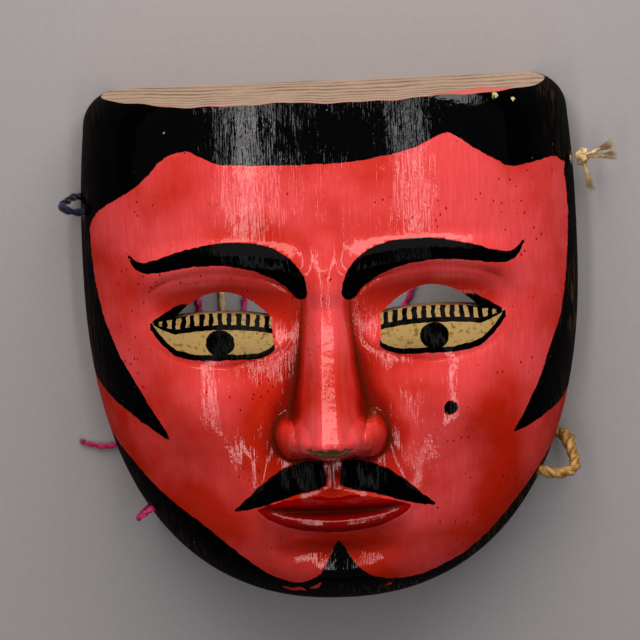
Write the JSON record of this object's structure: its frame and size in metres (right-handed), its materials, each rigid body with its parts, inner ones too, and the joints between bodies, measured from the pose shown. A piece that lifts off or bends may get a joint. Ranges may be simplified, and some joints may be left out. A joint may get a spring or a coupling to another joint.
{
  "type": "carved wooden dance mask",
  "caption": "Carved and painted wooden face mask with a hollow back, eye slits and short tie strings.",
  "frame": {"origin": "on the surface the mask lies on, under the middle of the wooden mask's box", "axes": "+X towards the right of someone who looks at the face, +Y towards the top of the head, +Z out of the face"},
  "size_m": [0.2046, 0.19, 0.0888],
  "materials": {
    "painted_wood": "gloss enamel on carved softwood, bare inside",
    "navy_yarn": "wool yarn",
    "magenta_yarn": "acrylic yarn",
    "cream_cotton": "twisted cotton cord",
    "tan_cord": "waxed cord"
  },
  "bodies": {
    "root": {"mask_body": "painted_wood", "navy_yarn_tie": "navy_yarn", "magenta_yarn_tie": "magenta_yarn", "cotton_cord_tie": "cream_cotton", "cotton_frayed_knot": "cream_cotton", "tan_cord_loop": "tan_cord"}
  },
  "joints": []
}
